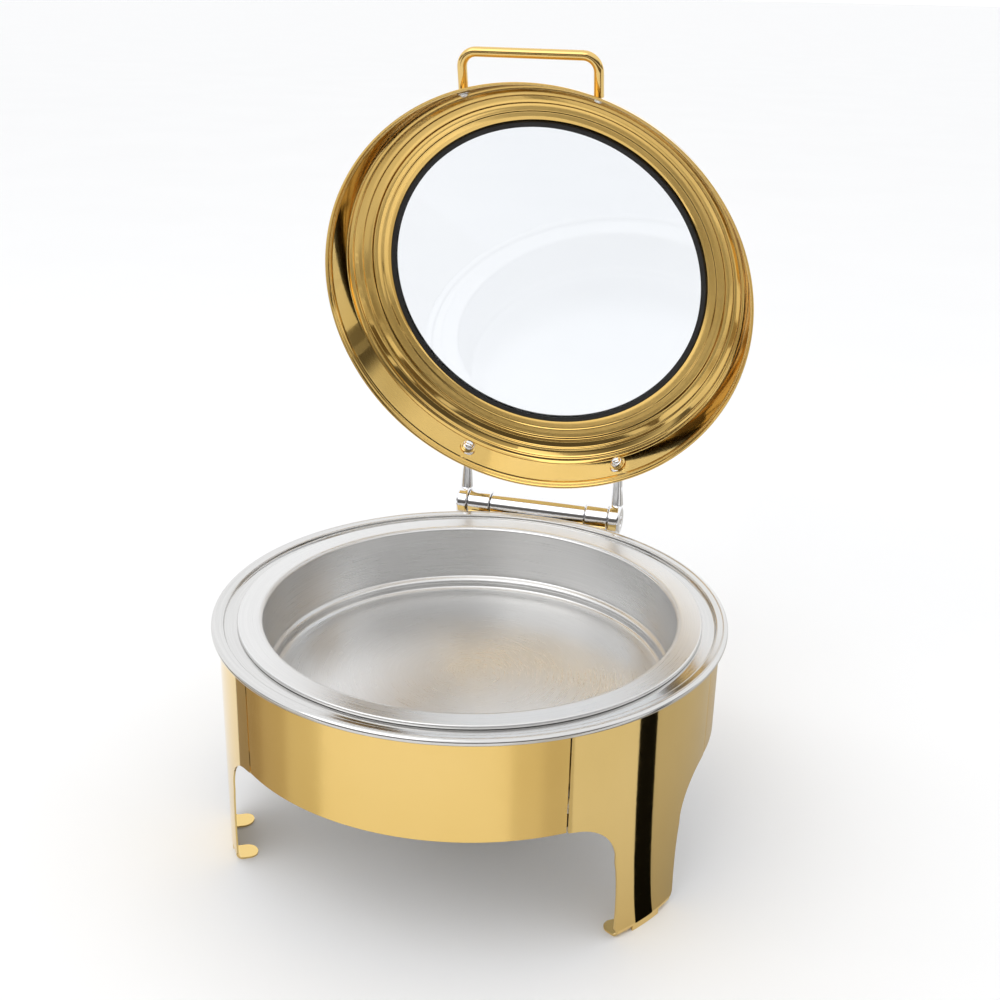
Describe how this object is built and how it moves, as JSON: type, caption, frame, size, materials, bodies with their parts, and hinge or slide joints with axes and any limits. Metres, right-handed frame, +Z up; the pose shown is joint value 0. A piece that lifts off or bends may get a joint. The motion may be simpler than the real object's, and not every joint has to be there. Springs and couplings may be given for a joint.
{
  "type": "chafing dish food warmer",
  "caption": "Round food warmer on a curved-panel stand with legs, a water pan, a food pan, a glazed lid on a rear hinge and a fuel holder underneath.",
  "frame": {"origin": "on the table, on the vertical axis of the round dish, at the middle of the fuel holder's base", "axes": "+Z up, -Y is the front, where the handle and the front panel are, +Y is the back, where the hinge is, +X is the right as seen from the front"},
  "size_m": [0.434, 0.4791, 0.6494],
  "materials": {
    "skirt_gold": "gold plated, satin",
    "leg_gold": "gold plated, mirror polished",
    "hoop_steel": "plain mill finish",
    "rivet_steel": "plain",
    "water_pan_steel": "polished stainless steel",
    "food_pan_steel": "fine brushed stainless steel",
    "hinge_chrome": "bright chrome",
    "screw_steel": "plated",
    "shaft_steel": "ground",
    "bracket_gold": "gold plated",
    "lid_gold": "gold plated, mirror polished",
    "lid_glass": "clear toughened glass",
    "gasket_rubber": "black seal",
    "handle_gold": "gold plated rod",
    "burner_steel": "spun stainless steel",
    "can_paint": "plain lacquered tin"
  },
  "bodies": {
    "stand": {"bracket_screws": "screw_steel", "food_pan": "food_pan_steel", "hinge_barrel": "hinge_chrome", "hinge_bracket": "bracket_gold", "hinge_sleeve_left": "hinge_chrome", "hinge_sleeve_right": "hinge_chrome", "leg_back": "leg_gold", "leg_front_left": "leg_gold", "leg_front_right": "leg_gold", "leg_rivets_lower": "rivet_steel", "leg_rivets_upper": "rivet_steel", "lower_hoop": "hoop_steel", "skirt_front": "skirt_gold", "skirt_left": "skirt_gold", "skirt_right": "skirt_gold", "skirt_rivets_lower": "rivet_steel", "skirt_rivets_upper": "rivet_steel", "upper_hoop": "hoop_steel", "water_pan": "water_pan_steel"},
    "lid": {"glass_gasket": "gasket_rubber", "handle_screws": "screw_steel", "handle_washers": "screw_steel", "hinge_arm_left": "hinge_chrome", "hinge_arm_nuts": "hinge_chrome", "hinge_arm_right": "hinge_chrome", "hinge_arm_washers": "handle_gold", "hinge_cap_left": "hinge_chrome", "hinge_cap_right": "hinge_chrome", "hinge_cap_screws": "screw_steel", "hinge_shaft": "shaft_steel", "lid_glass": "lid_glass", "lid_handle": "handle_gold", "lid_shell": "lid_gold"},
    "fuel_holder": {"fuel_cup": "burner_steel", "fuel_can": "can_paint", "fuel_can_collar": "can_paint", "fuel_cover": "burner_steel", "snuffer_rivet": "rivet_steel"},
    "snuffer": {"fuel_snuffer": "burner_steel"}
  },
  "joints": [
    {"name": "lid_hinge", "type": "hinge", "parent": "stand", "child": "lid", "pos_m": [0, 0.2305, 0.205], "axis": [-1, 0, 0], "range_deg": [-76.5, 12]},
    {"name": "fuel_pull", "type": "slide", "parent": "stand", "child": "fuel_holder", "axis": [0, -1, 0], "range_m": [0, 0.28]},
    {"name": "snuffer_swivel", "type": "hinge", "parent": "fuel_holder", "child": "snuffer", "pos_m": [0, 0.034, 0.0447], "axis": [0, 0, 1], "range_deg": [0, 110]}
  ]
}
